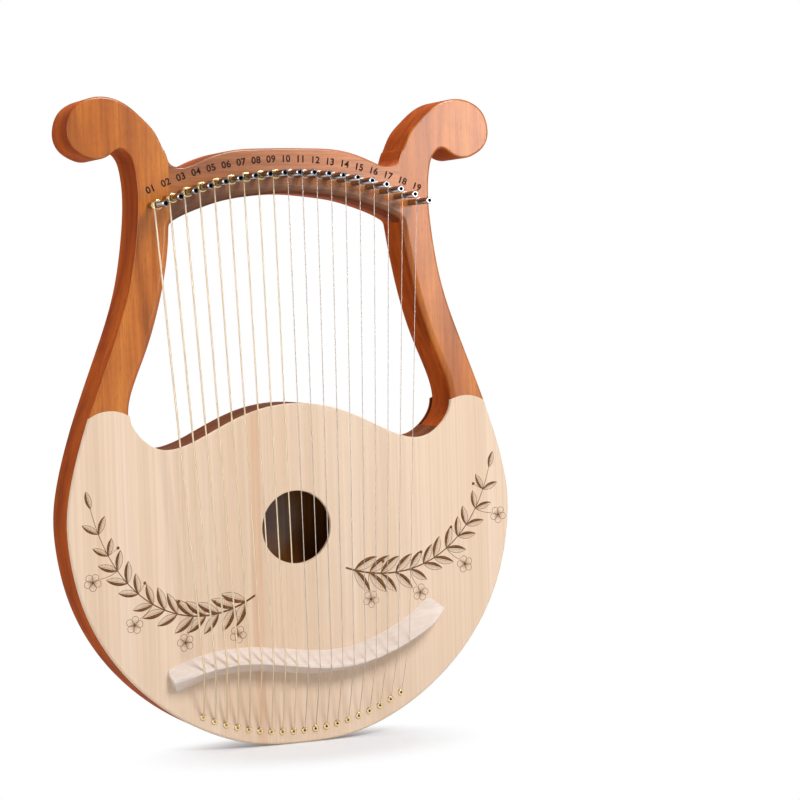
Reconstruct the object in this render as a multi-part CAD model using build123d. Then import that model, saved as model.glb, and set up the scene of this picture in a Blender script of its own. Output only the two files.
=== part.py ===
from build123d import *
import os
from math import sqrt

# Nineteen-string lyre harp, in millimetres.
# The pieces are drawn in the face frame: x to the right, y up along the strings and z out of
# the soundboard towards the player, with z = 0 on the soundboard's face. stand() turns a
# finished piece upright: the face looks along -Y, up is +Z, and the lyre's lowest point is Z = 0.

# ---- body -------------------------------------------------------------------------------
BODY_DEPTH = 42.0            # soundboard face to back face
SOUNDBOARD_THICKNESS = 3.0
BACK_THICKNESS = 3.0
RIM_THICKNESS = 7.0
SHOULDER_THICKNESS = 8.0     # the wavy rail under the window
ARM_FOOT = 241.0             # height at which the arms stand on the rims
TAIL_HALF_WIDTH = 100.0
TAIL_HEIGHT = 46.0
OUTER_ROUND = 1.6            # rounding of the outside edges, front and back
WINDOW_ROUND = 5.0           # rounding of the arms' and crossbar's front edges at the window
WINDOW_BACK_ROUND = 8.0      # the same at the back, where the player's hand passes
WINDOW_CORNER = 6.0          # rounding of the window's upper corners
WINDOW_SHIFT = 1.2           # how far the window's sides and foot stand to the right
BOARD_ROUND = 0.8            # rounding of the boards' edges along the window
HOLE_ROUND = 0.8             # rounding of the sound hole's edge
SOUND_HOLE_RADIUS = 28.3
SOUND_HOLE_HEIGHT = 168.3

# Right half of the outside outline: the round body, the arm, the notch under the horn's curl,
# and round the horn to the foot of its inner edge.
OUTLINE = [
    (0, 0), (48, 4.6), (84, 18.6), (122, 44.6), (152, 78), (172, 117), (181, 155), (182.5, 185),
    (177.5, 215), (164, 259), (144, 311), (130.5, 350), (121.7, 398), (119.9, 428), (121.7, 446),
    (126.3, 457.4), (132.7, 461.2), (139, 457.8), (145, 454.3), (151.5, 453.2), (161, 456),
    (169, 461.8), (173, 469.5), (173.2, 479), (169, 489.8), (158.5, 497.8), (142.5, 500),
    (127, 494.5), (113, 482.8), (103, 470.5), (98, 460), (95.2, 452.7),
]
CROSSBAR_TOP = [(95.2, 452.7), (91, 448.2), (84, 447.3), (70, 452), (46, 459.5), (20, 461.3), (0, 461.5)]
CROSSBAR_BOTTOM = [(0, 427.3), (30, 425), (52, 421.5), (72, 415.4), (86, 409.8), (95.2, 404.5)]
ARM_INSIDE = [
    (95.2, 404.5), (100, 370), (107, 340), (116.5, 311), (126.5, 287), (132, 270), (132.4, 257),
    (129, 249), (122, 241), (114.5, 235.8), (104, 233.2), (92, 234.9), (73.4, 242.4), (50.8, 253.2),
    (29, 260.9), (0, 264.5),
]
# A line along the crossbar and down the arm, between the window's rounding and the outer one.
MIDDLE_LINE = [
    (0, 444), (90, 430), (105, 428.6), (109, 400), (117, 350), (130, 307), (144, 275), (148, 221),
]
# The soundboard's upper edge crosses each arm in an arc: outer end, crown and inner end.
SEAM_ARC = [(166.5, 257.6), (149, 264.8), (131.6, 260.0)]

# ---- crossbar joints --------------------------------------------------------------------
DOWEL_RADIUS = 4.0
DOWEL_LENGTH = 30.0
DOWEL_HEIGHTS = (420.0, 438.0)
DOWEL_DEPTH = 33.0           # from the front face to the dowel's axis

# ---- strings ----------------------------------------------------------------------------
STRING_COUNT = 19
WOUND_COUNT = 9
WOUND_THICK = 1.4            # diameter of the lowest wound string
WOUND_THIN = 1.0             # diameter of the highest wound string
PLAIN_THICK = 0.7
PLAIN_THIN = 0.5
STRING_BEND = 1.5            # inside of the turn over the bridge and into an eyelet
STRING_CLEARANCE = 0.1       # round a string where it passes through a piece
COIL_GAP = 0.3               # between a fixed string's end and the coil on its turning pin

# ---- tuning pins ------------------------------------------------------------------------
PIN_RADIUS = 2.5
PIN_STAND = 37.0             # length in front of the crossbar
PIN_DEPTH = 24.0             # length inside the wood
PIN_CLEARANCE = 0.05
PIN_END_GAP = 1.0            # below the pin in its bore
PIN_PITCH = 11.89
PIN_ROW_START = -110.1
PIN_ARC_RADIUS = 266.0
PIN_ARC_TOP = 441.0
STRING_AXIS = -3.0           # x of the top of the pin arc and the bottom of the eyelet arc
PIN_CHAMFER = 0.5
SOCKET_FLATS = 3.0           # tuning key socket, across flats
SOCKET_DEPTH = 5.0
COIL_STAND = 18.5            # soundboard face to the turn that the string leaves
COIL_TURNS = 5

# ---- eyelets and string ends ------------------------------------------------------------
EYELET_PITCH = 9.17
EYELET_ROW_START = -81.2
EYELET_ARC_RADIUS = 180.0
EYELET_ARC_BOTTOM = 9.7
EYELET_FLANGE_RADIUS = 2.5
EYELET_FLANGE = 0.8
EYELET_ROUND = 0.55
EYELET_BARREL_RADIUS = 1.7
EYELET_BARREL = 8.0
EYELET_BORE = 1.0
EYELET_FIT = 0.03
BALL_RADIUS = 1.9
BALL_LENGTH = 3.2
BALL_RECESS_RADIUS = 2.4
BALL_RECESS = 6.0            # depth of the recess from the back face

# ---- bridge and braces ------------------------------------------------------------------
BRIDGE_HEIGHT = 15.5
BRIDGE_CREST = 1.6           # width of the flat along the top
BRIDGE_ABOVE = (9.4, 13.0)   # from the crest to the foot on the tuning pins' side, at each end
BRIDGE_BELOW = (10.0, 4.0)   # from the crest to the foot on the eyelets' side, at each end
BRIDGE_END_HEIGHT = 9.0      # the crest comes down to this at both ends
BRIDGE_FALL = 22.0           # length over which it comes down
BRIDGE_STATIONS = 24
BRIDGE_CORNER = 4.5          # rounding of the ends' upright corners
BRIDGE_LINE = [
    (-106, 56.8), (-82, 64.6), (-55, 68), (-18, 64.6), (22, 59.6), (52, 62.6), (82, 73), (105, 86),
    (119, 97.5),
]
BRACE_WIDTH = 8.0
BRACE_DEPTH = 12.0
UPPER_BRACE_DROP = 9.2       # from the shoulder rail's lowest point down to the upper brace
LOWER_BRACE_HEIGHT = 118.0
BACK_BRACE_HEIGHT = 105.0
BRACE_GAP = 0.3              # between a brace's ends and the rims

FRONT_Y = (PIN_STAND - BODY_DEPTH) / 2
JOINT_X = CROSSBAR_BOTTOM[-1][0]
TOP_HEIGHT = max(y for x, y in OUTLINE)
HALF_WIDTH = max(x for x, y in OUTLINE)
RAIL_FOOT = min(y for x, y in ARM_INSIDE) - SHOULDER_THICKNESS
UPPER_BRACE_HEIGHT = RAIL_FOOT - UPPER_BRACE_DROP - BRACE_WIDTH / 2
BOARD_BACK = -SOUNDBOARD_THICKNESS
BACK_FACE = -BODY_DEPTH
BACK_INSIDE = BACK_FACE + BACK_THICKNESS
BALL_FLOOR = BACK_FACE + BALL_RECESS
MARGIN = 20.0                # how far a trimming shape runs past the piece
OVERCUT = 1.0                # how far a cutter runs past a face
HALVINGS = 40                # steps that close in on a place along a curve
RIM_POINTS = 24              # spacing of the points that draw the rim's inside
RAIL_POINTS = 60             # the same for the shoulder rail
SHORT_EDGE = 25.0            # edges shorter than this are left sharp

os.makedirs("parts", exist_ok=True)


def stand(piece):
    return Location((0, FRONT_Y, 0), (90, 0, 0)) * piece


def save(name, piece):
    export_step(stand(piece), f"parts/{name}.step")


def flipped(points):
    return [(-x, y) for x, y in reversed(points)]


def shifted(points, step):
    """The points moved along x, apart from the first, which stays at the crossbar's joint."""
    return points[:1] + [(x + step, y) for x, y in points[1:]]


def slab(face, low, high):
    """The face, drawn at z = 0, as a solid from z = low to z = high."""
    return Pos(0, 0, low) * extrude(face, amount=high - low)


def area(x_low, x_high, y_low, y_high):
    middle = Pos((x_low + x_high) / 2, (y_low + y_high) / 2)
    return middle * Rectangle(x_high - x_low, y_high - y_low)


def on_arc(x, radius):
    """How far an arc that is level at the string axis has left its tangent at x."""
    return radius - sqrt(radius ** 2 - (x - STRING_AXIS) ** 2)


# ---- outlines ---------------------------------------------------------------------------
right_edge = Spline(*OUTLINE, tangents=[(1, 0), (-0.3, -1)])
left_edge = mirror(right_edge, about=Plane.YZ)
bar_top = Spline(*CROSSBAR_TOP, *flipped(CROSSBAR_TOP)[1:])
outline = make_face(Curve() + [right_edge, bar_top, left_edge])

bar_bottom = Spline(*flipped(CROSSBAR_BOTTOM), *CROSSBAR_BOTTOM[1:])


# The window's sides and foot, from its upper right corner round to its upper left one.
window_line = Spline(
    *shifted(ARM_INSIDE, WINDOW_SHIFT), *flipped(shifted(ARM_INSIDE, -WINDOW_SHIFT))[1:]
)
window = make_face(Curve() + [bar_bottom, window_line])
window = fillet(window.vertices(), WINDOW_CORNER)
plan = outline - window


def share_where(curve, passed, high=1.0):
    """The share of a curve's length, below high, after which passed(point) is true."""
    low = 0.0
    for _ in range(HALVINGS):
        middle = (low + high) / 2
        if passed(curve @ middle):
            high = middle
        else:
            low = middle
    return high


def rim_inside(gap=0.0):
    """The air in the body: the outside edge moved in by the rim's thickness and a gap."""
    inset = RIM_THICKNESS + gap
    last = share_where(right_edge, lambda spot: spot.Y > ARM_FOOT + MARGIN, 0.5)
    points = []
    for k in range(RIM_POINTS + 1):
        spot = right_edge @ (last * k / RIM_POINTS)
        along = right_edge % (last * k / RIM_POINTS)
        points.append((spot.X - along.Y * inset, spot.Y + along.X * inset))
    right = Spline(*points)
    left = mirror(right, about=Plane.YZ)
    return make_face(Curve() + [right, Line(right @ 1, left @ 1), left])


def board_plan():
    """The soundboard and the back: the plan of the body up to an arc across each arm."""
    outer, crown, inner = SEAM_ARC
    reach = HALF_WIDTH + MARGIN
    right = [
        Line((0, -MARGIN), (reach, -MARGIN)),
        Line((reach, -MARGIN), (reach, outer[1])),
        Line((reach, outer[1]), outer),
        ThreePointArc(outer, crown, inner),
        Line(inner, (0, inner[1] + MARGIN)),
    ]
    left = [mirror(edge, about=Plane.YZ) for edge in right]
    return plan & make_face(Curve() + right + left)


board = board_plan()


def curves_at(piece, level):
    """The long curved edges of a piece that lie flat at z = level."""
    found = []
    for edge in piece.edges():
        box = edge.bounding_box()
        flat = abs(box.min.Z - level) < 0.01 and abs(box.max.Z - level) < 0.01
        if flat and edge.geom_type != GeomType.LINE and edge.length > SHORT_EDGE:
            found.append(edge)
    return found


def top_of(edge):
    return edge.bounding_box().max.Y


def bottom_of(edge):
    return edge.bounding_box().min.Y


# ---- strings' places --------------------------------------------------------------------
def pin_place(i):
    x = PIN_ROW_START + PIN_PITCH * i
    return Vector(x, PIN_ARC_TOP - on_arc(x, PIN_ARC_RADIUS), 0)


def eyelet_place(i):
    x = EYELET_ROW_START + EYELET_PITCH * i
    return Vector(x, EYELET_ARC_BOTTOM + on_arc(x, EYELET_ARC_RADIUS), 0)


def string_radius(i):
    if i < WOUND_COUNT:
        share = i / (WOUND_COUNT - 1)
        return (WOUND_THICK + (WOUND_THIN - WOUND_THICK) * share) / 2
    share = (i - WOUND_COUNT) / (STRING_COUNT - WOUND_COUNT - 1)
    return (PLAIN_THICK + (PLAIN_THIN - PLAIN_THICK) * share) / 2


bridge_line = Spline(*BRIDGE_LINE)


def crest_place(top, eyelet):
    """Where a string that runs straight from its pin to its eyelet crosses the bridge's crest."""
    run = eyelet - top
    share = share_where(
        bridge_line, lambda spot: (spot.X - top.X) * run.Y < (spot.Y - top.Y) * run.X
    )
    return bridge_line @ share


def string_path(i):
    """The string's corners: beside the pin, on the crest, over the eyelet, in the ball."""
    radius = string_radius(i)
    pin = pin_place(i)
    eyelet = eyelet_place(i)
    top = Vector(pin.X - PIN_RADIUS - radius, pin.Y, COIL_STAND)
    crest = crest_place(top, eyelet) + Vector(0, 0, BRIDGE_HEIGHT)
    mouth = Vector(eyelet.X, eyelet.Y, EYELET_FLANGE + radius)
    ball = Vector(eyelet.X, eyelet.Y, BALL_FLOOR - BALL_LENGTH)
    coil_radius = PIN_RADIUS + 2 * radius
    drop = sqrt(coil_radius ** 2 - PIN_RADIUS ** 2) + COIL_GAP
    start = top + (crest - top).normalized() * drop
    return [start, crest, mouth, ball]


def string(i, extra=0.0):
    route = FilletPolyline(*string_path(i), radius=STRING_BEND)
    section = Plane(origin=route @ 0, z_dir=route % 0) * Circle(string_radius(i) + extra)
    return sweep(section, path=route)


def rod(start, end, radius):
    line = end - start
    return Plane(origin=start, z_dir=line) * Cylinder(
        radius, line.length, align=(Align.CENTER, Align.CENTER, Align.MIN)
    )


def bore(place, radius, low, high):
    """A round cutter along z."""
    return Pos(place.X, place.Y, low) * Cylinder(
        radius, high - low, align=(Align.CENTER, Align.CENTER, Align.MIN)
    )


# ---- tuning pins and coils --------------------------------------------------------------
def tuning_pin(i):
    place = pin_place(i)
    shank = bore(place, PIN_RADIUS, -PIN_DEPTH, PIN_STAND)
    ends = shank.edges().filter_by(GeomType.CIRCLE)
    shank = chamfer(ends, PIN_CHAMFER)
    socket = RegularPolygon(SOCKET_FLATS / 2, 6, major_radius=False)
    socket = Pos(place.X, place.Y, PIN_STAND - SOCKET_DEPTH) * extrude(socket, amount=SOCKET_DEPTH)
    hole = rod(
        Vector(place.X - 2 * PIN_RADIUS, place.Y, COIL_STAND),
        Vector(place.X + 2 * PIN_RADIUS, place.Y, COIL_STAND),
        string_radius(i) + STRING_CLEARANCE,
    )
    return shank - socket - hole


def string_coil(i):
    """The turns of wire round a pin, below the turn that the string leaves."""
    place = pin_place(i)
    radius = string_radius(i)
    pitch = 2 * radius
    inside = PIN_RADIUS + PIN_CLEARANCE
    middle = PIN_RADIUS + radius
    outside = PIN_RADIUS + 2 * radius
    bumps = []
    for k in range(COIL_TURNS):
        low = k * pitch
        bumps.append(ThreePointArc((middle, low), (outside, low + radius), (middle, low + pitch)))
    height = COIL_TURNS * pitch
    bumps.append(Polyline((middle, height), (inside, height), (inside, 0), (middle, 0)))
    profile = Plane.XZ * make_face(Curve() + bumps)
    coil = revolve(profile, Axis.Z, 360)
    return Pos(place.X, place.Y, COIL_STAND + radius - height) * coil


# ---- woodwork ---------------------------------------------------------------------------
def dowels():
    pins = []
    for side in (-1, 1):
        for height in DOWEL_HEIGHTS:
            start = Vector(side * JOINT_X - DOWEL_LENGTH / 2, height, -DOWEL_DEPTH)
            end = Vector(side * JOINT_X + DOWEL_LENGTH / 2, height, -DOWEL_DEPTH)
            pins.append(rod(start, end, DOWEL_RADIUS))
    return pins


pin_bores = [
    bore(pin_place(i), PIN_RADIUS + PIN_CLEARANCE, -PIN_DEPTH - PIN_END_GAP, OVERCUT)
    for i in range(STRING_COUNT)
]
board_space = slab(board, BOARD_BACK, MARGIN)
back_space = slab(board, BACK_FACE - MARGIN, BACK_INSIDE)


def edges_front_and_back(blank):
    return curves_at(blank, 0) + curves_at(blank, BACK_FACE)


middle = make_face(Polyline(*flipped(MIDDLE_LINE), *MIDDLE_LINE[1:], close=True))
upper = area(-HALF_WIDTH - MARGIN, HALF_WIDTH + MARGIN, ARM_FOOT, TOP_HEIGHT + MARGIN)
beside = area(JOINT_X, HALF_WIDTH + MARGIN, ARM_FOOT, TOP_HEIGHT + MARGIN)
between = area(-JOINT_X, JOINT_X, CROSSBAR_BOTTOM[-1][1] - MARGIN, TOP_HEIGHT + MARGIN)


def window_side():
    """The arms and crossbar next to the window, in one, with the window's edges rounded."""
    blank = slab(plan & upper & middle, BACK_FACE, 0)
    blank = fillet(curves_at(blank, 0), WINDOW_ROUND)
    return fillet(curves_at(blank, BACK_FACE), WINDOW_BACK_ROUND)


def outer_side(part_of_plan):
    blank = slab((outline & part_of_plan) - middle, BACK_FACE, 0)
    return fillet(edges_front_and_back(blank), OUTER_ROUND)


inner = window_side()


def whole_slab(part_of_plan):
    return slab(part_of_plan, BACK_FACE - MARGIN, MARGIN)


def right_arm():
    """The arm with its horn, cut out for the boards and bored for the joint."""
    whole = (inner & whole_slab(beside)) + outer_side(beside)
    return whole - board_space - back_space - (dowels() + pin_bores)


def left_arm():
    left = mirror(beside, about=Plane.YZ)
    whole = (inner & whole_slab(left)) + mirror(outer_side(beside), about=Plane.YZ)
    return whole - board_space - back_space - (dowels() + pin_bores)


def crossbar():
    whole = (inner & whole_slab(between)) + outer_side(between)
    return whole - (dowels() + pin_bores)


def shoulder_rail():
    """The wavy wall under the window, from one arm's foot to the other's."""
    first = share_where(window_line, lambda spot: spot.Y < ARM_FOOT + MARGIN, 0.5)
    points = []
    for k in range(RAIL_POINTS + 1):
        share = first + (1 - 2 * first) * k / RAIL_POINTS
        spot = window_line @ share
        along = window_line % share
        x = spot.X - along.Y * SHOULDER_THICKNESS
        y = spot.Y + along.X * SHOULDER_THICKNESS
        points.append((x, y))
    over = Polyline(points[-1], (0, ARM_FOOT + 3 * MARGIN), points[0])
    strip = (make_face(Curve() + [Spline(*points), over]) - window) & board
    upper = area(-HALF_WIDTH, -JOINT_X, ARM_FOOT, TOP_HEIGHT)
    strip = strip - upper - mirror(upper, about=Plane.YZ)
    return slab(strip, BACK_INSIDE, BOARD_BACK)


def rim():
    ring = outline - rim_inside()
    ring = ring & area(TAIL_HALF_WIDTH, HALF_WIDTH + MARGIN, 0, ARM_FOOT)
    return slab(ring, BACK_INSIDE, BOARD_BACK)


def tail_block():
    block = outline & area(-TAIL_HALF_WIDTH, TAIL_HALF_WIDTH, -MARGIN, TAIL_HEIGHT)
    return slab(block, BACK_INSIDE, BOARD_BACK)


def brace(height, low, high):
    """A bar across the body, glued flat to the board or the back."""
    strip = area(-HALF_WIDTH, HALF_WIDTH, height - BRACE_WIDTH / 2, height + BRACE_WIDTH / 2)
    return slab(rim_inside(BRACE_GAP) & strip, low, high)


def blend(ends, share):
    return ends[0] + (ends[1] - ends[0]) * share


def bridge_section(share):
    """The bridge cut across: a long slope above the crest and a shorter one below it."""
    spot = bridge_line @ share
    from_end = min(share, 1 - share) * bridge_line.length
    fall = max(0.0, 1 - from_end / BRIDGE_FALL) ** 2
    height = BRIDGE_HEIGHT - (BRIDGE_HEIGHT - BRIDGE_END_HEIGHT) * fall
    top = BRIDGE_CREST / 2
    ridge = Polyline(
        (0, -blend(BRIDGE_ABOVE, share)), (height, -top), (height, top),
        (0, blend(BRIDGE_BELOW, share)), close=True,
    )
    across = Plane(origin=(spot.X, spot.Y, 0), z_dir=bridge_line % share, x_dir=(0, 0, 1))
    return across * make_face(ridge)


def bridge():
    """A carved bridge, with its crest falling at both ends and its corners rounded."""
    body = loft([bridge_section(k / BRIDGE_STATIONS) for k in range(BRIDGE_STATIONS + 1)])
    foot = make_face(body.faces().sort_by(Axis.Z)[0].edges())
    foot = fillet(foot.vertices(), BRIDGE_CORNER)
    body = body & slab(foot, 0, BRIDGE_HEIGHT + OVERCUT)
    return body - [string(i, STRING_CLEARANCE) for i in range(STRING_COUNT)]


def eyelet(i):
    place = eyelet_place(i)
    flange = bore(place, EYELET_FLANGE_RADIUS, 0, EYELET_FLANGE)
    rim_edge = flange.edges().filter_by(GeomType.CIRCLE).sort_by(Axis.Z)[-1]
    flange = fillet(rim_edge, EYELET_ROUND)
    barrel = bore(place, EYELET_BARREL_RADIUS, -EYELET_BARREL, 0)
    return flange + barrel - bore(place, EYELET_BORE, -EYELET_BARREL, EYELET_FLANGE)


def ball_end(i):
    ball = bore(eyelet_place(i), BALL_RADIUS, BALL_FLOOR - BALL_LENGTH, BALL_FLOOR)
    return ball - bore(eyelet_place(i), string_radius(i), BALL_FLOOR - BALL_LENGTH, BALL_FLOOR)


def string_way(i):
    """The stepped hole that a string takes through the board, the block and the back."""
    seat = EYELET_BARREL_RADIUS + EYELET_FIT
    outside = BACK_FACE - OVERCUT
    profile = Polyline(
        (0, outside), (BALL_RECESS_RADIUS, outside), (BALL_RECESS_RADIUS, BALL_FLOOR),
        (EYELET_BORE, BALL_FLOOR), (EYELET_BORE, -EYELET_BARREL), (seat, -EYELET_BARREL),
        (seat, OVERCUT), (0, OVERCUT), close=True,
    )
    place = eyelet_place(i)
    return Pos(place.X, place.Y, 0) * revolve(Plane.XZ * make_face(profile), Axis.Z, 360)


string_ways = [string_way(i) for i in range(STRING_COUNT)]


def rounded_board(low, high, face):
    """A board of the body's plan, with the edges of its outer face rounded."""
    plate = slab(board, low, high)
    outside = [edge for edge in curves_at(plate, face) if bottom_of(edge) < TAIL_HEIGHT]
    plate = fillet(outside, OUTER_ROUND)
    window_side = [
        edge for edge in curves_at(plate, face)
        if bottom_of(edge) > TAIL_HEIGHT and edge.geom_type == GeomType.BSPLINE
    ]
    return fillet(window_side, BOARD_ROUND)


def soundboard():
    hole = bore(Vector(0, SOUND_HOLE_HEIGHT, 0), SOUND_HOLE_RADIUS, BOARD_BACK - OVERCUT, OVERCUT)
    plate = rounded_board(BOARD_BACK, 0, 0) - hole
    hole_edge = [
        edge for edge in curves_at(plate, 0)
        if edge.geom_type == GeomType.CIRCLE and edge.is_closed
    ]
    return fillet(hole_edge, HOLE_ROUND) - string_ways


def back_plate():
    return rounded_board(BACK_FACE, BACK_INSIDE, BACK_FACE) - string_ways


# ---- the pieces -------------------------------------------------------------------------
save("right_arm", right_arm())
save("left_arm", left_arm())
save("crossbar", crossbar())
save("crossbar_dowels", Compound(children=dowels()))
save("shoulder_rail", shoulder_rail())
save("right_rim", rim())
save("left_rim", mirror(rim(), about=Plane.YZ))
save("tail_block", tail_block() - string_ways)
save("soundboard", soundboard())
save("back_plate", back_plate())
save("bridge", bridge())
save("upper_brace", brace(UPPER_BRACE_HEIGHT, BOARD_BACK - BRACE_DEPTH, BOARD_BACK))
save("lower_brace", brace(LOWER_BRACE_HEIGHT, BOARD_BACK - BRACE_DEPTH, BOARD_BACK))
save("back_brace", brace(BACK_BRACE_HEIGHT, BACK_INSIDE, BACK_INSIDE + BRACE_DEPTH))
save("eyelets", Compound(children=[eyelet(i) for i in range(STRING_COUNT)]))
save("ball_ends", Compound(children=[ball_end(i) for i in range(STRING_COUNT)]))
save("wound_strings", Compound(children=[string(i) for i in range(WOUND_COUNT)]))
save("plain_strings", Compound(children=[string(i) for i in range(WOUND_COUNT, STRING_COUNT)]))
for i in range(STRING_COUNT):
    save(f"tuning_pin_{i + 1:02d}", tuning_pin(i))
    save(f"string_coil_{i + 1:02d}", string_coil(i))
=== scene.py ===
"""The looks of a nineteen-string lyre harp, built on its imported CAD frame. Lengths are in metres."""

import math
import random

import bpy
from mathutils import Matrix, Vector

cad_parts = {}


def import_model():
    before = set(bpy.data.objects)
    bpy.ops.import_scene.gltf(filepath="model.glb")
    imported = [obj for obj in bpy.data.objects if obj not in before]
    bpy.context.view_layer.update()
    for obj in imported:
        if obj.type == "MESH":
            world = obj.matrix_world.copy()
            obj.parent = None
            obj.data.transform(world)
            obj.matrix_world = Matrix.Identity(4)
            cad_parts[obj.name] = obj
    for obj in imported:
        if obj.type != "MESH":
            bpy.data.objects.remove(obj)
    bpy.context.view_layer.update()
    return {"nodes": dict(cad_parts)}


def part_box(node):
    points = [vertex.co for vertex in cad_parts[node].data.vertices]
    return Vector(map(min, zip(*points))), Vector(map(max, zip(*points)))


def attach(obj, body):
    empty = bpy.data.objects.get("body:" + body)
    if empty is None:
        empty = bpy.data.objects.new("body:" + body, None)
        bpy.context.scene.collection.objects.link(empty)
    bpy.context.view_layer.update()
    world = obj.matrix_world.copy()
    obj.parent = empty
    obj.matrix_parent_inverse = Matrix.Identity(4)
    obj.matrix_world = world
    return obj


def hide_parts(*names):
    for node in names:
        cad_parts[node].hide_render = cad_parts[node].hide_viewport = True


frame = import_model()

MM = 0.001
STRINGS = 19
WOUND = 9                                # the lowest strings are wound with bronze wire
FACE_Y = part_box("left_arm")[0].y         # the plane of the soundboard, the arms and the crossbar
BURN_STAND = 0.05 * MM                   # how far a burnt mark stands off the wood under it


# ---- camera -------------------------------------------------------------------------------
LENS = 111.0
CAMERA_PLACE = (-0.6843, -1.7851, 0.3443)
CAMERA_RIGHT = (0.91634, -0.39942, -0.02807)
CAMERA_FORWARD = (0.39815, 0.91637, -0.04169)


def camera():
    view = bpy.data.cameras.new("camera")
    view.sensor_width = 36
    view.lens = LENS
    holder = bpy.data.objects.new("camera", view)
    bpy.context.scene.collection.objects.link(holder)
    right = Vector(CAMERA_RIGHT)
    forward = Vector(CAMERA_FORWARD)
    up = right.cross(forward)
    turn = Matrix((right, up, -forward)).transposed().to_4x4()
    holder.matrix_world = Matrix.Translation(CAMERA_PLACE) @ turn
    bpy.context.scene.camera = holder


camera()


# ---- colours ----------------------------------------------------------------------------
def shade(red, green, blue):
    """A colour given as it looks on a screen, 0 to 255, in the renderer's linear values."""
    linear = []
    for part in (red, green, blue):
        part = part / 255
        linear.append(part / 12.92 if part <= 0.04045 else ((part + 0.055) / 1.055) ** 2.4)
    return (*linear, 1.0)


# ---- material building ------------------------------------------------------------------
class Shader:
    """A material's node tree, with short calls for the nodes that the finishes share."""

    def __init__(self, name):
        self.material = bpy.data.materials.new(name)
        self.material.use_nodes = True
        self.tree = self.material.node_tree
        self.surface = self.tree.nodes["Principled BSDF"]
        self.source = self.tree.nodes.new("ShaderNodeTexCoord")
        self.place = self.source.outputs["Object"]

    def link(self, source, socket):
        self.tree.links.new(source, socket)

    def fill(self, socket, value):
        """Give a socket a value, or link it to another node."""
        if isinstance(value, bpy.types.NodeSocket):
            self.link(value, socket)
        else:
            socket.default_value = value

    def stretched(self, scale):
        """Object coordinates multiplied by a scale for each axis."""
        node = self.tree.nodes.new("ShaderNodeMapping")
        node.inputs["Scale"].default_value = scale
        self.link(self.place, node.inputs["Vector"])
        return node.outputs["Vector"]

    def noise(self, vector, detail=4.0, roughness=0.5, distortion=0.0):
        node = self.tree.nodes.new("ShaderNodeTexNoise")
        node.inputs["Scale"].default_value = 1.0
        node.inputs["Detail"].default_value = detail
        node.inputs["Roughness"].default_value = roughness
        node.inputs["Distortion"].default_value = distortion
        self.link(vector, node.inputs["Vector"])
        return node.outputs["Fac"]

    def ramp(self, value, *stops):
        node = self.tree.nodes.new("ShaderNodeValToRGB")
        while len(node.color_ramp.elements) < len(stops):
            node.color_ramp.elements.new(1.0)
        for element, (spot, colour) in zip(node.color_ramp.elements, stops):
            element.position = spot
            element.color = colour
        self.link(value, node.inputs["Fac"])
        return node.outputs["Color"]

    def mix(self, share, low, high, blend="MIX"):
        node = self.tree.nodes.new("ShaderNodeMix")
        node.data_type = "RGBA"
        node.blend_type = blend
        for index, value in ((0, share), (6, low), (7, high)):
            self.fill(node.inputs[index], value)
        return node.outputs[2]

    def math(self, operation, *values):
        node = self.tree.nodes.new("ShaderNodeMath")
        node.operation = operation
        for index, value in enumerate(values):
            self.fill(node.inputs[index], value)
        return node.outputs["Value"]

    def between(self, value, low, high, start=0.0, end=1.0):
        """The value mapped from low..high to start..end, level outside them."""
        node = self.tree.nodes.new("ShaderNodeMapRange")
        node.interpolation_type = "SMOOTHSTEP"
        self.link(value, node.inputs["Value"])
        for name, number in (("From Min", low), ("From Max", high), ("To Min", start), ("To Max", end)):
            node.inputs[name].default_value = number
        return node.outputs["Result"]

    def part_of(self, vector, letter):
        node = self.tree.nodes.new("ShaderNodeSeparateXYZ")
        self.link(vector, node.inputs[0])
        return node.outputs[letter]

    def facing(self):
        """1 where the surface faces the front or the back, 0 on walls."""
        front = self.math("ABSOLUTE", self.part_of(self.source.outputs["Normal"], "Y"))
        return self.between(front, 0.35, 0.9)

    def bump(self, height, distance, strength=1.0):
        node = self.tree.nodes.new("ShaderNodeBump")
        node.inputs["Strength"].default_value = strength
        node.inputs["Distance"].default_value = distance
        self.link(height, node.inputs["Height"])
        self.link(node.outputs["Normal"], self.surface.inputs["Normal"])

    def set(self, **values):
        for name, value in values.items():
            socket = self.surface.inputs[name.replace("_", " ").title().replace("Ior", "IOR")]
            socket.default_value = value


def grain_scale(direction, along, across):
    """Scales for a pattern that is drawn out along one axis."""
    return tuple(along if letter == direction else across for letter in "XYZ")


WHITE = (1.0, 1.0, 1.0, 1.0)


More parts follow.
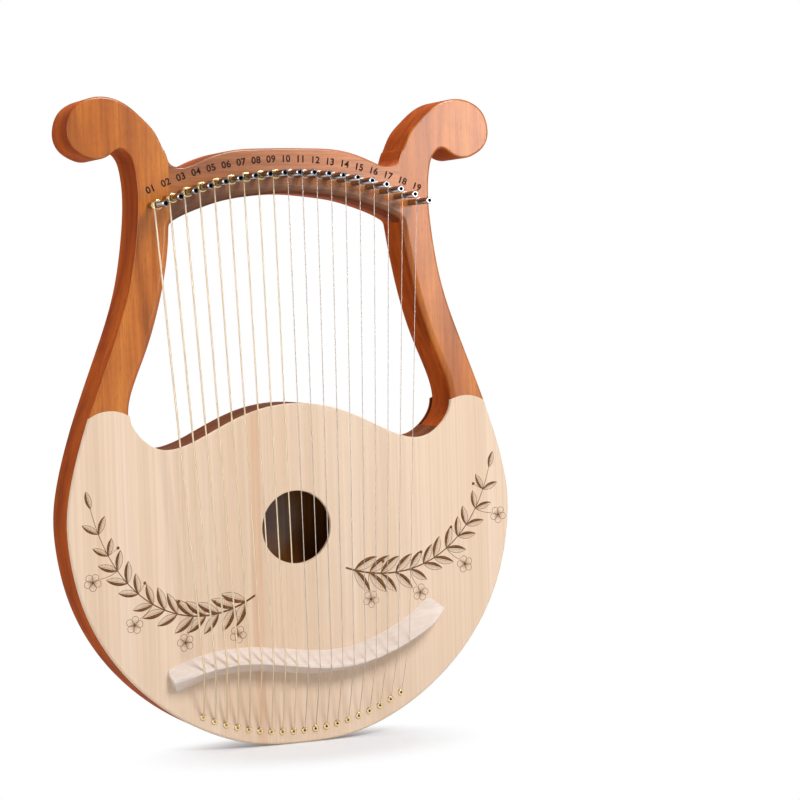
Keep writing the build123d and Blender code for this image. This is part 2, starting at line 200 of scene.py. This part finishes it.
def mahogany(name, direction, dark, mid, light, wall_painted_shade, painted_shade=None):
    """Lacquered mahogany: broad streaks, fine grain and short dark pores along one axis."""
    wood = Shader(name)
    broad = wood.noise(wood.stretched(grain_scale(direction, 3.5, 55)), 3, 0.55, 0.6)
    fine = wood.noise(wood.stretched(grain_scale(direction, 14, 420)), 4, 0.6, 0.2)
    figure = wood.noise(wood.stretched(grain_scale(direction, 30, 22)), 2, 0.5, 0.8)
    body = wood.ramp(broad, (0.30, dark), (0.50, mid), (0.72, light))
    streaks = wood.ramp(fine, (0.34, (0.62, 0.55, 0.50, 1)), (0.58, WHITE))
    body = wood.mix(0.55, body, streaks, "MULTIPLY")
    glow = wood.ramp(figure, (0.35, (0.86, 0.84, 0.82, 1)), (0.65, (1.08, 1.06, 1.03, 1)))
    body = wood.mix(0.6, body, glow, "MULTIPLY")
    pore_field = wood.noise(wood.stretched(grain_scale(direction, 160, 2300)), 1, 0.5)
    pores = wood.ramp(pore_field, (0.28, (0.45, 0.38, 0.34, 1)), (0.38, WHITE))
    body = wood.mix(0.5, body, pores, "MULTIPLY")
    # a part's painted shade, where it is given one
    if painted_shade:
        body = painted_shade(wood, body)
    facing = wood.facing()
    # the walls take painted shade, darker and redder than the front and the back
    body = wood.mix(facing, wood.mix(1.0, body, wall_painted_shade, "MULTIPLY"), body)
    wood.link(body, wood.surface.inputs["Base Color"])
    wood.link(wood.math("MULTIPLY_ADD", fine, 0.10, 0.50), wood.surface.inputs["Roughness"])
    wood.link(facing, wood.surface.inputs["Coat Weight"])
    wood.set(specular_ior_level=0.01, coat_roughness=0.26, coat_ior=1.5)
    wood.bump(wood.math("ADD", pores, fine), 0.00003, 0.5)
    return wood.material


PIN_ARC_RADIUS = 0.266                   # the pins stand on an arc, and so does the painted shade on the bar's lower half
PIN_ARC_CENTRE = (-0.003, 0.175)
BAR_DARK_FRONT = 8 * MM                  # the bar's painted shade reaches this deep from its front
BAR_PLAIN_BACK = 24 * MM                 # and is gone at this depth
# the colour of the painted shade on the crossbar
BAR_PAINTED_SHADE = (0.07, 0.02, 0.003, 1)
BACK_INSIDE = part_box("back_plate")[0].y + 1.0 * MM
BACK_EDGE = 0.3 * MM                     # half the depth over which the inside's painted shade starts


def inside_painted_shade(wood, body):
    """The back's inner face, darkened as painted shade inside the body."""
    depth = wood.between(wood.part_of(wood.place, "Y"), BACK_INSIDE - BACK_EDGE, BACK_INSIDE + BACK_EDGE)
    inside = wood.mix(1.0, body, (0.36, 0.46, 1.0, 1), "MULTIPLY")
    return wood.mix(depth, inside, body)


def bar_painted_shade(wood, body):
    """The crossbar darkened in front: painted shade under the pins, and darker towards the bass side."""
    across = wood.part_of(wood.place, "X")
    up = wood.part_of(wood.place, "Z")
    run = wood.math("SUBTRACT", across, PIN_ARC_CENTRE[0])
    rise = wood.math("SUBTRACT", up, PIN_ARC_CENTRE[1])
    squares = wood.math("ADD", wood.math("POWER", run, 2.0), wood.math("POWER", rise, 2.0))
    radius = wood.math("POWER", squares, 0.5)
    # painted shade of the pins, darkest below their row
    low = wood.between(radius, PIN_ARC_RADIUS - 0.010, PIN_ARC_RADIUS + 0.007, 0.32, 1.0)
    # darker towards the bass side
    left = wood.between(across, -0.10, 0.08, 0.56, 0.98)
    depth = wood.part_of(wood.place, "Y")
    behind = wood.between(depth, FACE_Y + BAR_DARK_FRONT, FACE_Y + BAR_PLAIN_BACK)
    # 1 where the wood keeps its own colour, lower where the painted shade shows
    light = wood.math("MAXIMUM", wood.math("MULTIPLY", low, left), behind)
    return wood.mix(light, BAR_PAINTED_SHADE, body)


SEAM_LEFT = (-0.0385, -0.0365)           # where the soundboard's warmer stave starts, across the board
SEAM_RIGHT = (-0.0305, -0.0285)          # and where it ends


def spruce(name, dark, mid, light):
    """Pale spruce: close straight growth rings, broad warm bands and one warmer stave."""
    wood = Shader(name)
    rings = wood.noise(wood.stretched((560, 40, 2.2)), 3, 0.6, 0.05)
    bands = wood.noise(wood.stretched((34, 6, 0.9)), 2, 0.5, 0.1)
    silk = wood.noise(wood.stretched((1500, 90, 14)), 2, 0.5)
    body = wood.ramp(bands, (0.30, dark), (0.52, mid), (0.74, light))
    lines = wood.ramp(rings, (0.36, (0.86, 0.80, 0.74, 1)), (0.60, WHITE))
    body = wood.mix(0.5, body, lines, "MULTIPLY")
    fibres = wood.ramp(silk, (0.30, (0.93, 0.91, 0.88, 1)), (0.62, WHITE))
    body = wood.mix(0.5, body, fibres, "MULTIPLY")
    across = wood.part_of(wood.place, "X")
    left_of_band = wood.between(across, *SEAM_LEFT)
    right_of_band = wood.between(across, *SEAM_RIGHT)
    seam_band = wood.math("SUBTRACT", left_of_band, right_of_band)
    body = wood.mix(seam_band, body, wood.mix(1.0, body, (0.93, 0.83, 0.76, 1), "MULTIPLY"))
    wood.link(body, wood.surface.inputs["Base Color"])
    wood.set(roughness=0.46, specular_ior_level=0.3)
    wood.bump(wood.math("ADD", rings, silk), 0.00002, 0.5)
    return wood.material


def maple():
    """Close grained maple, almost white, with the grain along the bridge."""
    wood = Shader("maple")
    fine = wood.noise(wood.stretched((18, 300, 330)), 3, 0.55, 0.3)
    broad = wood.noise(wood.stretched((9, 40, 60)), 2, 0.5, 0.4)
    body = wood.ramp(
        broad, (0.30, shade(224, 208, 197)), (0.55, shade(232, 217, 207)), (0.8, shade(237, 224, 215))
    )
    lines = wood.ramp(fine, (0.34, (0.90, 0.86, 0.82, 1)), (0.58, WHITE))
    body = wood.mix(0.6, body, lines, "MULTIPLY")
    wood.link(body, wood.surface.inputs["Base Color"])
    wood.set(roughness=0.42, specular_ior_level=0.4)
    wood.bump(fine, 0.00003, 0.4)
    return wood.material


HOLE_SHADE_EDGE = 0.15 * MM                 # half the depth over which the painted shade starts
# the colour of painted shade down a hole
HOLE_PAINTED_SHADE = shade(44, 30, 16)


def metal(name, colour, roughness, worn=0.04, dark_behind=None):
    """Bare metal whose polish varies a little, and which may be darkened by painted shade behind a plane.
    """
    finish = Shader(name)
    cloud = finish.noise(finish.stretched((420, 420, 420)), 3, 0.6)
    finish.link(finish.math("MULTIPLY_ADD", cloud, worn, roughness), finish.surface.inputs["Roughness"])
    tint = finish.ramp(cloud, (0.25, tuple(0.9 * part for part in colour[:3]) + (1,)), (0.6, colour))
    # painted shade: behind the plane, in the hole, the metal is darkened
    if dark_behind:
        depth = finish.between(
            finish.part_of(finish.place, "Y"), dark_behind - HOLE_SHADE_EDGE, dark_behind + HOLE_SHADE_EDGE
        )
        tint = finish.mix(depth, tint, HOLE_PAINTED_SHADE)
    finish.link(tint, finish.surface.inputs["Base Color"])
    finish.set(metallic=1.0)
    return finish.material


WINDING_PITCH = 0.35 * MM
WAVE_SCALE = 0.314                       # a wave texture repeats once in this length over its scale


def winding():
    """Bronze wire wound round a core: fine turns across the string, with painted shade in the grooves
    between them.
    """
    finish = Shader("bronze_winding")
    turns = finish.tree.nodes.new("ShaderNodeTexWave")
    turns.wave_type = "BANDS"
    turns.bands_direction = "Z"
    turns.wave_profile = "SIN"
    turns.inputs["Scale"].default_value = WAVE_SCALE / WINDING_PITCH
    finish.link(finish.place, turns.inputs["Vector"])
    # darker in the grooves between the turns: painted shade
    tint = finish.ramp(turns.outputs["Fac"], (0.0, shade(184, 160, 126)), (0.6, shade(228, 210, 182)))
    finish.link(tint, finish.surface.inputs["Base Color"])
    finish.set(metallic=1.0, roughness=0.36)
    finish.bump(turns.outputs["Fac"], 0.00006, 0.7)
    return finish.material


def burn_and_shade(name, dark, light):
    """Marks burnt into wood, darker where the burn went deeper; the same finish gives the sockets'
    painted shade.
    """
    mark = Shader(name)
    depth = mark.noise(mark.stretched((900, 300, 900)), 3, 0.6)
    mark.link(mark.ramp(depth, (0.32, dark), (0.68, light)), mark.surface.inputs["Base Color"])
    mark.set(roughness=0.75, specular_ior_level=0.2)
    mark.bump(depth, 0.00004, 0.6)
    return mark.material


# ---- the wood and metal of the CAD nodes -------------------------------------------------
def dress(node, material):
    mesh = frame["nodes"][node].data
    mesh.materials.clear()
    mesh.materials.append(material)


WALL_PAINTED_SHADE = (0.86, 0.56, 0.56, 1)        # painted shade on the walls: they are made darker and redder than the front and the back
MAHOGANY = (shade(160, 83, 22), shade(189, 104, 28), shade(206, 123, 40))
arm_wood = mahogany("mahogany_arms", "Z", *MAHOGANY, WALL_PAINTED_SHADE)
# the crossbar's mahogany, with painted shade under the pins
bar_wood = mahogany(
    "mahogany_bar", "X", shade(170, 94, 40), shade(200, 118, 54), shade(214, 134, 68), WALL_PAINTED_SHADE,
    bar_painted_shade
)
rim_wood = mahogany("mahogany_rims", "Z", *MAHOGANY, WALL_PAINTED_SHADE)
# the back's inner face is darkened as painted shade
back_wood = mahogany("mahogany_back", "Z", *MAHOGANY, WALL_PAINTED_SHADE, inside_painted_shade)
# the shoulder rail's mahogany is painted darker: painted shade at the foot of the window
rail_painted_shade_wood = mahogany(
    "mahogany_rail_painted_shade", "X", shade(96, 50, 26), shade(120, 68, 38), shade(136, 80, 48), WHITE
)
board_wood = spruce("spruce", shade(228, 200, 172), shade(234, 208, 182), shade(238, 214, 190))
brace_wood = spruce("spruce_braces", shade(216, 184, 150), shade(224, 194, 162), shade(230, 204, 174))
bridge_wood = maple()
dowel_wood = mahogany(
    "beech", "X", shade(176, 138, 98), shade(194, 158, 118), shade(206, 174, 136), WHITE
)
chrome = metal("chrome", shade(160, 160, 165), 0.12)
brass = metal("brass", shade(228, 188, 104), 0.2)
EYELET_BRIGHT = 0.5 * MM                 # an eyelet is bright further out from the board than this, and darkened behind it by painted shade
eyelet_brass = metal("eyelet_brass", shade(248, 218, 160), 0.2, dark_behind=FACE_Y - EYELET_BRIGHT)
bronze = metal("bronze_wire", shade(232, 204, 150), 0.18)
steel = metal("steel_wire", shade(196, 184, 174), 0.24)
bronze_winding = winding()
# painted shade: the black cups in the pins' sockets
socket_painted_shade = burn_and_shade("painted_socket_shade", shade(10, 9, 9), shade(34, 30, 30))
burn = burn_and_shade("burnt_design", shade(78, 44, 18), shade(150, 100, 54))
numeral_burn = burn_and_shade("burnt_numerals", shade(26, 12, 6), shade(56, 28, 14))

for node in ("left_arm", "right_arm"):
    dress(node, arm_wood)
dress("back_plate", back_wood)
for node in ("left_rim", "right_rim", "tail_block"):
    dress(node, rim_wood)
dress("shoulder_rail", rail_painted_shade_wood)
for node in ("upper_brace", "lower_brace", "back_brace"):
    dress(node, brace_wood)
dress("soundboard", board_wood)
dress("crossbar", bar_wood)
dress("crossbar_dowels", dowel_wood)
dress("bridge", bridge_wood)
dress("eyelets", eyelet_brass)
dress("ball_ends", brass)
dress("wound_strings", bronze_winding)
dress("plain_strings", steel)
for number in range(1, STRINGS + 1):
    dress(f"tuning_pin_{number:02d}", chrome)


# ---- modelling helpers --------------------------------------------------------------------
def only(piece):
    """Select one object alone and make it active, in object mode."""
    if bpy.context.object and bpy.context.object.mode != "OBJECT":
        bpy.ops.object.mode_set(mode="OBJECT")
    bpy.ops.object.select_all(action="DESELECT")
    piece.select_set(True)
    bpy.context.view_layer.objects.active = piece


def settled(piece):
    """Put the object's place into its mesh, which leaves the object at the origin."""
    only(piece)
    bpy.ops.object.transform_apply(location=True, rotation=True, scale=True)
    return piece


def finished(piece, name, material, body, smooth=True):
    """Name, colour and seat a piece whose shape is done."""
    piece.name = name
    piece.data.name = name
    if not piece.data.materials:
        piece.data.materials.append(material)
    only(piece)
    if smooth:
        bpy.ops.object.shade_smooth()
    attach(piece, body)
    return piece


def string_metal(number):
    """The wire of a string and the name of its metal."""
    if number <= WOUND:
        return bronze, "bronze_wire"
    return steel, "steel_wire"


def middle_of(node):
    low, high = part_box(node)
    return (low + high) / 2


# ---- the turns of wire on the pins --------------------------------------------------------
COIL_TURNS = 5
STEPS_A_TURN = 28
WIRE_SIDES = 10


def wire_turns(number):
    """A string's turns round its pin: a ring of wire screwed along the pin, from its front turn."""
    node = f"string_coil_{number:02d}"
    low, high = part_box(node)
    pin_low, pin_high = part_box(f"tuning_pin_{number:02d}")
    pin_radius = (pin_high.x - pin_low.x) / 2
    wire = ((high.x - low.x) / 2 - pin_radius) / 2
    ring = pin_radius + wire
    front = low.y + wire
    centre = middle_of(f"tuning_pin_{number:02d}")
    bpy.ops.object.select_all(action="DESELECT")
    bpy.ops.mesh.primitive_circle_add(vertices=WIRE_SIDES, radius=wire, fill_type="NOTHING")
    piece = bpy.context.object
    bpy.ops.object.mode_set(mode="EDIT")
    bpy.ops.mesh.select_all(action="SELECT")
    bpy.ops.transform.translate(value=(-ring, 0, 0))
    bpy.ops.object.mode_set(mode="OBJECT")
    screw = piece.modifiers.new("turns", "SCREW")
    screw.axis = "Y"
    screw.angle = 2 * math.pi
    screw.iterations = COIL_TURNS
    screw.screw_offset = (high.y - low.y - 2 * wire) / COIL_TURNS
    screw.steps = STEPS_A_TURN
    screw.render_steps = STEPS_A_TURN
    screw.use_smooth_shade = True
    bpy.ops.object.modifier_apply(modifier="turns")
    bpy.ops.object.mode_set(mode="EDIT")
    bpy.ops.mesh.select_all(action="SELECT")
    bpy.ops.mesh.fill_holes(sides=0)
    bpy.ops.mesh.select_all(action="SELECT")
    bpy.ops.mesh.normals_make_consistent(inside=False)
    bpy.ops.object.mode_set(mode="OBJECT")
    piece.location = (centre.x, front, centre.z)
    settled(piece)
    wire_metal, slot = string_metal(number)
    finished(piece, f"wire_turns_{number:02d}", wire_metal, f"pin_{number:02d}")
    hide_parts(node)
    return Vector((centre.x - ring, front, centre.z)), wire


string_tops = [wire_turns(number) for number in range(1, STRINGS + 1)]


# ---- the painted shade in the sockets of the pins' ends -------------------------------------
SOCKET_DEPTH = 4.9 * MM
SOCKET_CORNER = 1.70 * MM                # from the pin's axis to a corner of its hexagon socket
SOCKET_INSET = 0.2 * MM                  # from the pin's end to the front of the shade cup


def socket_shade_cup(number):
    """A thin black cup in the key socket, painted shade where the socket is dark: a hexagonal bar opened
    at its front.
    """
    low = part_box(f"tuning_pin_{number:02d}")[0]
    centre = middle_of(f"tuning_pin_{number:02d}")
    bpy.ops.object.select_all(action="DESELECT")
    bpy.ops.mesh.primitive_cylinder_add(vertices=6, radius=SOCKET_CORNER, depth=SOCKET_DEPTH)
    piece = bpy.context.object
    front = max(piece.data.polygons, key=lambda face: face.center.z)
    for part in (*piece.data.vertices, *piece.data.edges, *piece.data.polygons):
        part.select = False
    piece.data.polygons[front.index].select = True
    bpy.ops.object.mode_set(mode="EDIT")
    bpy.ops.mesh.select_mode(type="FACE")
    bpy.ops.mesh.delete(type="ONLY_FACE")
    bpy.ops.mesh.select_all(action="SELECT")
    bpy.ops.mesh.flip_normals()
    bpy.ops.object.mode_set(mode="OBJECT")
    piece.matrix_world = (
        Matrix.Translation((centre.x, low.y + SOCKET_INSET + SOCKET_DEPTH / 2, centre.z))
        @ Matrix.Rotation(math.pi / 2, 4, "X")
        @ Matrix.Rotation(math.pi / 6, 4, "Z")
    )
    settled(piece)
    finished(piece, f"socket_{number:02d}", socket_painted_shade, f"pin_{number:02d}", smooth=False)


for number in range(1, STRINGS + 1):
    socket_shade_cup(number)


# ---- strokes: curves whose thickness is given point by point -------------------------------
def drawing(name):
    """An empty curve whose strokes get their thickness, in millimetres, from their points."""
    data = bpy.data.curves.new(name, "CURVE")
    data.dimensions = "3D"
    data.bevel_depth = MM
    data.bevel_resolution = 0
    data.use_fill_caps = True
    piece = bpy.data.objects.new(name, data)
    bpy.context.scene.collection.objects.link(piece)
    return piece


def stroke(piece, points, radii):
    """One stroke through the points, as thick at each as its radius in millimetres says."""
    spline = piece.data.splines.new("POLY")
    spline.points.add(len(points) - 1)
    for point, spot, radius in zip(spline.points, points, radii):
        point.co = (*spot, 1.0)
        point.radius = radius
    return spline


def as_mesh(piece):
    only(piece)
    bpy.ops.object.convert(target="MESH")
    return bpy.context.object


# ---- the strings' last stretch, up to the pins ----------------------------------------------
END_SEARCH = 8 * MM                      # a string's end lies within this of its turns
END_RING = 0.25 * MM                     # its end face reaches this much further than its nearest point


def end_near(node, spot):
    """The middle of the string end in a node that lies nearest to a spot."""
    spots = [vertex.co for vertex in frame["nodes"][node].data.vertices]
    close = [place for place in spots if (place - spot).length < END_SEARCH]
    reach = min((place - spot).length for place in close)
    ring = [place for place in close if (place - spot).length < reach + END_RING]
    return sum(ring, Vector()) / len(ring)


def string_ends(name, node, numbers):
    """What joins the strings to their turns on the pins. It stays still when a pin turns."""
    piece = drawing(name)
    piece.data.bevel_resolution = 3
    for number in numbers:
        top, wire = string_tops[number - 1]
        stroke(piece, [top, end_near(node, top)], [wire / MM] * 2)
    piece = as_mesh(piece)
    wire_metal, slot = string_metal(numbers[0])
    finished(piece, name, wire_metal, "lyre")


string_ends("wound_string_ends", "wound_strings", range(1, WOUND + 1))
string_ends("plain_string_ends", "plain_strings", range(WOUND + 1, STRINGS + 1))


# ---- numbers over the pins ----------------------------------------------------------------
NUMBER_HEIGHT = 5.3 * MM
NUMBER_RISE = 12.1 * MM                  # from a pin's axis up to the middle of its number
NUMBER_SPREAD = 0.3 * MM                 # how much wider apart than the pins the numbers stand
CAPITAL_SHARE = 0.73                     # a capital's height as a share of the text's size
NUMBER_FLAT = 0.2                        # the burnt numbers' depth, as a share of the text's


def number_mark(number):
    """The string's number, burnt into the wood over its pin and tilted with the row."""
    before = middle_of(f"tuning_pin_{max(number - 1, 1):02d}")
    after = middle_of(f"tuning_pin_{min(number + 1, STRINGS):02d}")
    tilt = math.atan2(after.z - before.z, after.x - before.x)
    centre = middle_of(f"tuning_pin_{number:02d}")
    bpy.ops.object.select_all(action="DESELECT")
    bpy.ops.object.text_add()
    text = bpy.context.object.data
    text.body = f"{number:02d}"
    text.align_x = "CENTER"
    text.align_y = "CENTER"
    text.size = NUMBER_HEIGHT / CAPITAL_SHARE
    text.space_character = 1.08
    text.offset = 0.016 * text.size
    text.bevel_depth = 0.12 * MM
    text.bevel_resolution = 0
    text.extrude = BURN_STAND / 2
    piece = as_mesh(bpy.context.object)
    piece.matrix_world = (
        Matrix.Translation((
            centre.x + NUMBER_SPREAD * number, FACE_Y - BURN_STAND / 2, centre.z + NUMBER_RISE
        ))
        @ Matrix.Rotation(-tilt, 4, "Y")
        @ Matrix.Rotation(math.pi / 2, 4, "X")
        @ Matrix.Diagonal((1, 1, NUMBER_FLAT, 1))
    )
    return settled(piece)


number_marks = [number_mark(number) for number in range(1, STRINGS + 1)]
only(number_marks[0])
for piece in number_marks:
    piece.select_set(True)
bpy.ops.object.join()
finished(number_marks[0], "pin_numbers", numeral_burn, "lyre", smooth=False)


# ---- the burnt leaf sprigs on the soundboard ----------------------------------------------
def bowed(start, end, bow, steps=12):
    """Points along a shallow arc that stands off the straight line by bow."""
    run = Vector(end) - Vector(start)
    across = Vector((-run.y, run.x)).normalized()
    points = []
    for k in range(steps + 1):
        share = k / steps
        points.append(Vector(start) + run * share + across * bow * 4 * share * (1 - share))
    return points


def mark(design, points, start, end, middle=None):
    """A burnt stroke over (x, z) points in millimetres, with its width at both ends and between."""
    last = len(points) - 1
    radii = []
    for k in range(last + 1):
        share = k / last
        width = start + (end - start) * share
        if middle is not None:
            width += (middle - (start + end) / 2) * 4 * share * (1 - share)
        radii.append(width / 2)
    stroke(design, [(spot[0] * MM, 0.0, spot[1] * MM) for spot in points], radii)


def leaf(design, root, angle, length, width):
    """A leaf: one half burnt solid, the other half outlined and veined."""
    tip = (root[0] + length * math.cos(angle), root[1] + length * math.sin(angle))
    mark(design, bowed(root, tip, width * 0.27), 0.1, 0.1, width * 0.40)
    lower = bowed(root, tip, -width / 2)
    rib = bowed(root, tip, -width * 0.04)
    mark(design, lower, 0.35, 0.3)
    mark(design, rib, 0.3, 0.15)
    for k in range(2, 11):
        mark(design, [rib[k - 1], lower[k]], 0.24, 0.12)


def blossom(design, centre, radius, turn):
    """Five round petals with fine lines to a solid heart."""
    for petal in range(5):
        angle = turn + 2 * math.pi * petal / 5
        middle = Vector((centre[0] + 0.62 * radius * math.cos(angle),
                         centre[1] + 0.62 * radius * math.sin(angle)))
        ring = []
        for k in range(15):
            around = 2 * math.pi * k / 14
            ring.append(middle + Vector((math.cos(around), math.sin(around))) * radius * 0.40)
        mark(design, ring, 0.34, 0.34)
        for fan in (-0.35, 0.0, 0.35):
            reach = Vector((math.cos(angle + fan), math.sin(angle + fan)))
            start = Vector(centre) + reach * radius * 0.28
            mark(design, [start, Vector(centre) + reach * radius * 0.72], 0.3, 0.1)
    dot(design, centre, radius * 0.2)


def dot(design, centre, radius):
    left = (centre[0] - radius, centre[1])
    right = (centre[0] + radius, centre[1])
    mark(design, bowed(left, right, 0.0, 8), 0.2, 0.2, 2 * radius)


def bezier(points, steps):
    """A smooth curve through four control points."""
    a, b, c, d = (Vector(spot) for spot in points)
    curve = []
    for k in range(steps + 1):
        t = k / steps
        curve.append(a * (1 - t) ** 3 + b * 3 * t * (1 - t) ** 2 + c * 3 * t * t * (1 - t) + d * t ** 3)
    return curve


STEM_STEPS = 60


def sprig(design, points, side, leaf_length, pairs):
    """A stem along a curve with pairs of leaves that shrink towards its tip, buds and blossoms."""
    stem = bezier(points, STEM_STEPS)
    mark(design, stem, 1.5, 0.4)
    for k in range(pairs):
        share = 0.06 + 0.86 * k / (pairs - 1)
        index = int(share * STEM_STEPS)
        here = stem[index]
        run = stem[min(index + 1, STEM_STEPS)] - here
        along = math.atan2(run.y, run.x)
        size = leaf_length * (1 - 0.42 * share) * random.uniform(0.92, 1.08)
        for turn in (1, -1):
            lean = math.radians(random.uniform(36, 48))
            leaf(design, here, along + turn * lean, size, size * 0.36)
        if k % 3 == 1:
            aside = along + side * math.radians(78)
            reach = Vector((math.cos(aside), math.sin(aside)))
            mark(design, bowed(here, here + reach * 15, 1.0 * side, 6), 0.45, 0.35)
            blossom(design, here + reach * 21, 6.6, aside)
        if k % 3 == 2:
            aside = along - side * math.radians(80)
            reach = Vector((math.cos(aside), math.sin(aside)))
            mark(design, [here, here + reach * 9], 0.35, 0.3)
            dot(design, here + reach * 9.6, 1.3)
    run = stem[-1] - stem[-2]
    leaf(design, stem[-1], math.atan2(run.y, run.x), leaf_length * 0.6, leaf_length * 0.22)


LEFT_STEM = [(-36, 118), (-84, 88), (-146, 110), (-165, 192)]
RIGHT_STEM = [(40, 134), (88, 116), (146, 132), (166, 206)]
SPRIG_FLAT = 0.02                        # the strokes' depth, as a share of their width
random.seed(7)
sprigs = drawing("leaf_sprigs")
sprig(sprigs, LEFT_STEM, side=1, leaf_length=23, pairs=13)
sprig(sprigs, RIGHT_STEM, side=-1, leaf_length=22, pairs=12)
sprigs = as_mesh(sprigs)
sprigs.location.y = FACE_Y - BURN_STAND / 2
sprigs.scale.y = SPRIG_FLAT
settled(sprigs)
finished(sprigs, "leaf_sprigs", burn, "lyre", smooth=False)


# ---- floor, light and world ---------------------------------------------------------------
def lit_white(shader, seen_by_camera, strength):
    """A surface that the camera and the metal see brightened, and that still takes shadows."""
    glow = shader.tree.nodes.new("ShaderNodeEmission")
    glow.inputs["Color"].default_value = WHITE
    shader.link(shader.math("MULTIPLY", seen_by_camera, strength), glow.inputs["Strength"])
    return glow.outputs[0]


FLOOR_LIFT = 0.16                        # how much the paper is brightened, where it takes the shadow
SHADOW_REACH = (0.15, 0.09)              # how far the floor takes the shadow, across and in depth
SHADOW_FORWARD = 0.025                   # how far in front of the lyre the shadow's middle lies


def floor_paper():
    """White paper that takes the shadow near the lyre and fades into the white round it."""
    paper = Shader("floor_paper")
    nodes = paper.tree.nodes
    paper.set(base_color=(0.68, 0.69, 0.71, 1), roughness=0.9, specular_ior_level=0.0)
    rays = nodes.new("ShaderNodeLightPath")
    seen = paper.math("MAXIMUM", rays.outputs["Is Camera Ray"], rays.outputs["Is Glossy Ray"])
    seen = paper.math("MAXIMUM", seen, rays.outputs["Is Transmission Ray"])
    reach = nodes.new("ShaderNodeMapping")
    reach.inputs["Scale"].default_value = (1 / SHADOW_REACH[0], 1 / SHADOW_REACH[1], 1)
    reach.inputs["Location"].default_value = (0, SHADOW_FORWARD / SHADOW_REACH[1], 0)
    paper.link(paper.place, reach.inputs["Vector"])
    distance = nodes.new("ShaderNodeVectorMath")
    distance.operation = "LENGTH"
    paper.link(reach.outputs["Vector"], distance.inputs[0])
    far = paper.between(distance.outputs["Value"], 0.3, 1.0)
    near = nodes.new("ShaderNodeAddShader")
    paper.link(paper.surface.outputs[0], near.inputs[0])
    paper.link(lit_white(paper, seen, FLOOR_LIFT), near.inputs[1])
    both = nodes.new("ShaderNodeMixShader")
    paper.link(paper.math("MULTIPLY", far, seen), both.inputs[0])
    paper.link(near.outputs[0], both.inputs[1])
    paper.link(lit_white(paper, seen, 1.0), both.inputs[2])
    paper.link(both.outputs[0], nodes["Material Output"].inputs["Surface"])
    return paper.material


FLOOR_SIZE = 12
FLOOR_DROP = 0.2 * MM                    # below the lyre, so that the two never share a face


def floor():
    bpy.ops.object.select_all(action="DESELECT")
    bpy.ops.mesh.primitive_plane_add(size=FLOOR_SIZE)
    sheet = bpy.context.object
    sheet.name = "floor"
    sheet.location.z = -FLOOR_DROP
    settled(sheet)
    sheet.data.materials.append(floor_paper())


WORLD_FRONT = 0.22                       # the studio's light from in front of the lyre


def world():
    """A white backdrop behind the lyre and a dimmer studio in front, both white to the camera."""
    sky = bpy.data.worlds.new("studio")
    bpy.context.scene.world = sky
    sky.use_nodes = True
    nodes = sky.node_tree.nodes
    links = sky.node_tree.links
    rays = nodes.new("ShaderNodeLightPath")
    seen = nodes.new("ShaderNodeMath")
    seen.operation = "MAXIMUM"
    links.new(rays.outputs["Is Camera Ray"], seen.inputs[0])
    links.new(rays.outputs["Is Transmission Ray"], seen.inputs[1])
    direction = nodes.new("ShaderNodeTexCoord")
    parts = nodes.new("ShaderNodeSeparateXYZ")
    links.new(direction.outputs["Generated"], parts.inputs[0])
    leftwards = nodes.new("ShaderNodeMath")
    leftwards.operation = "MULTIPLY_ADD"
    links.new(parts.outputs["X"], leftwards.inputs[0])
    leftwards.inputs[1].default_value = -0.9
    links.new(parts.outputs["Y"], leftwards.inputs[2])
    depth = nodes.new("ShaderNodeMapRange")
    depth.interpolation_type = "SMOOTHSTEP"
    depth.inputs["From Min"].default_value = -0.5
    depth.inputs["From Max"].default_value = 0.9
    depth.inputs["To Min"].default_value = WORLD_FRONT
    depth.inputs["To Max"].default_value = 1.0
    links.new(leftwards.outputs[0], depth.inputs["Value"])
    strength = nodes.new("ShaderNodeMath")
    strength.operation = "MAXIMUM"
    links.new(seen.outputs[0], strength.inputs[0])
    links.new(depth.outputs["Result"], strength.inputs[1])
    background = nodes["Background"]
    background.inputs["Color"].default_value = WHITE
    links.new(strength.outputs[0], background.inputs["Strength"])


def area_light(name, location, target, size, watts):
    lamp = bpy.data.lights.new(name, "AREA")
    lamp.shape = "RECTANGLE"
    lamp.size, lamp.size_y = size
    lamp.energy = watts
    holder = bpy.data.objects.new(name, lamp)
    bpy.context.scene.collection.objects.link(holder)
    holder.location = location
    aim = Vector(target) - Vector(location)
    holder.rotation_euler = aim.to_track_quat("-Z", "Y").to_euler()
    return holder


floor()
world()
LIGHT_AIM = (0, 0, 0.27)                 # the middle of the lyre, a little above half its height
area_light("key", (0.8, -2.2, 2.4), LIGHT_AIM, (1.0, 1.0), 82)
area_light("overhead", (0.0, 0.9, 2.3), LIGHT_AIM, (1.2, 0.8), 16)
sheen = area_light("right_sheen", (1.12, -1.85, 0.78), LIGHT_AIM, (0.5, 0.9), 17)
edge_shine = area_light("left_edge", (-1.9, -0.75, 0.5), LIGHT_AIM, (0.5, 1.4), 14)
for lamp in (sheen, edge_shine):
    lamp.visible_diffuse = False
bpy.context.scene.view_settings.view_transform = "Standard"
